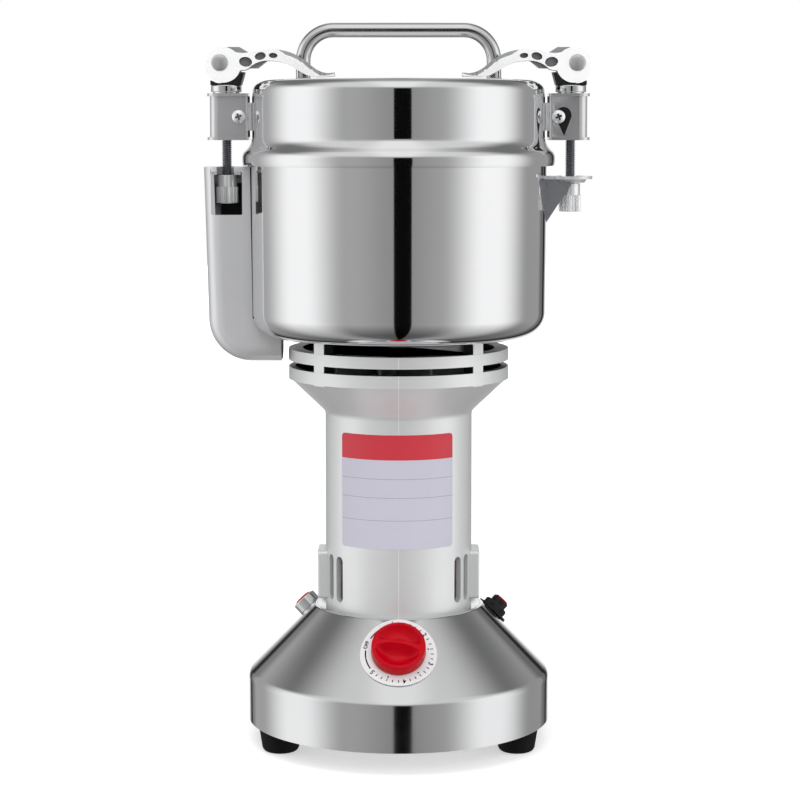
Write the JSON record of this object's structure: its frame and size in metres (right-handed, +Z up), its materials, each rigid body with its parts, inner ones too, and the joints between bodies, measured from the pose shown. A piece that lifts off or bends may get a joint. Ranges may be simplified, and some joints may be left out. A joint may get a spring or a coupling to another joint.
{
  "type": "electric grain mill",
  "caption": "Upright electric grain mill with a timer base, motor column, steel bowl and a bayonet lid held by two cam levers.",
  "frame": {"origin": "on the floor under the axis of bowl and motor", "axes": "+Z up along the motor axis, the timer knob faces -Y, the interlock duct is at -X"},
  "size_m": [0.197, 0.1592, 0.369],
  "materials": {
    "polished_steel": "polished stainless steel",
    "satin_steel": "satin stainless steel",
    "cast_housing": "cast, satin silver",
    "lever_alloy": "bright cast",
    "black_rubber": "matt",
    "seal_rubber": "matt silicone",
    "black_plastic": "matt",
    "grey_plastic": "matt",
    "red_plastic": "gloss",
    "dial_face": "satin print",
    "screw_steel": "zinc plated",
    "motor_iron": "laminated",
    "copper": "enamelled wire",
    "brass": "plain",
    "carbon": "sintered carbon",
    "blade_steel": "ground"
  },
  "bodies": {
    "stand": {"base_shell": "satin_steel", "base_plate": "satin_steel", "rubber_feet": "black_rubber", "foot_screws": "screw_steel", "motor_housing": "cast_housing", "machine_screws": "screw_steel", "brush_covers": "cast_housing", "brush_bracket": "grey_plastic", "brush_holders": "brass", "carbon_brushes": "carbon", "stator_core": "motor_iron", "field_coils": "copper", "lower_bearing": "screw_steel", "upper_bearing": "screw_steel", "bearing_bracket": "cast_housing", "bowl": "polished_steel", "shaft_seal": "black_rubber", "interlock_duct": "satin_steel", "micro_switch": "black_plastic", "hook_lug": "polished_steel", "dial_plate": "dial_face", "timer_body": "black_plastic", "button_bezel": "polished_steel", "breaker_body": "black_plastic", "breaker_nut": "black_plastic", "panel_nuts": "screw_steel", "power_inlet": "black_plastic", "inlet_pins": "brass"},
    "rotor": {"rotor_shaft": "blade_steel", "armature_core": "motor_iron", "armature_coils": "copper", "commutator": "copper", "cooling_fan": "grey_plastic", "lower_blade": "blade_steel", "blade_spacer": "blade_steel", "upper_blade": "blade_steel", "blade_washer": "blade_steel", "blade_nut": "blade_steel"},
    "lid": {"lid_shell": "polished_steel", "lid_handle": "polished_steel", "lid_gasket": "seal_rubber", "clamp_block_left": "polished_steel", "clamp_block_right": "polished_steel", "block_brackets": "satin_steel", "block_screws": "screw_steel", "clamp_collars": "polished_steel", "cam_saddles": "black_plastic"},
    "rod_left": {"clamp_rod_left": "screw_steel", "clamp_nut_left": "polished_steel"},
    "rod_right": {"clamp_rod_right": "screw_steel", "clamp_nut_right": "polished_steel"},
    "lever_left": {"cam_lever_left": "lever_alloy", "lever_pin_left": "screw_steel"},
    "lever_right": {"cam_lever_right": "lever_alloy", "lever_pin_right": "screw_steel"},
    "knob": {"timer_knob": "red_plastic", "timer_spindle": "screw_steel"},
    "button": {"power_button": "red_plastic"},
    "reset": {"breaker_button": "red_plastic"},
    "plunger": {"switch_plunger": "red_plastic"}
  },
  "joints": [
    {"name": "rotor_spin", "type": "hinge", "parent": "stand", "child": "rotor", "pos_m": [0, 0, 0.2], "axis": [0, 0, 1], "continuous": true},
    {"name": "lid_turn", "type": "hinge", "parent": "stand", "child": "lid", "pos_m": [0, 0, 0.3], "axis": [0, 0, 1], "range_deg": [0, 20]},
    {"name": "rod_slide_left", "type": "slide", "parent": "lid", "child": "rod_left", "axis": [0, 0, 1], "range_m": [-0.00304, 0]},
    {"name": "rod_slide_right", "type": "slide", "parent": "lid", "child": "rod_right", "axis": [0, 0, 1], "range_m": [-0.00304, 0]},
    {"name": "cam_turn_left", "type": "hinge", "parent": "rod_left", "child": "lever_left", "pos_m": [-0.09, 0, 0.3483], "axis": [0, -1, 0], "range_deg": [0, 130]},
    {"name": "cam_turn_right", "type": "hinge", "parent": "rod_right", "child": "lever_right", "pos_m": [0.09, 0, 0.3483], "axis": [0, 1, 0], "range_deg": [0, 130]},
    {"name": "timer_turn", "type": "hinge", "parent": "stand", "child": "knob", "pos_m": [0, -0.05691, 0.0573], "axis": [0, 0.7141, -0.7001], "range_deg": [0, 300]},
    {"name": "button_press", "type": "slide", "parent": "stand", "child": "button", "axis": [0.6791, -0.2207, -0.7001], "range_m": [0, 0.0012], "stiffness_N_per_m": 600, "springref_m": -0.0005},
    {"name": "reset_press", "type": "slide", "parent": "stand", "child": "reset", "axis": [0.6791, 0.2207, 0.7001], "range_m": [0, 0.0015]},
    {"name": "plunger_press", "type": "slide", "parent": "stand", "child": "plunger", "axis": [0, -1, 0], "range_m": [0, 0.0016]}
  ],
  "couplings": [
    {"joint": "cam_turn_left", "follows": "rod_slide_left", "rad_per_m": -689.6},
    {"joint": "cam_turn_right", "follows": "rod_slide_right", "rad_per_m": -689.6},
    {"joint": "plunger_press", "follows": "lid_turn", "m_per_rad": 0.0043}
  ]
}
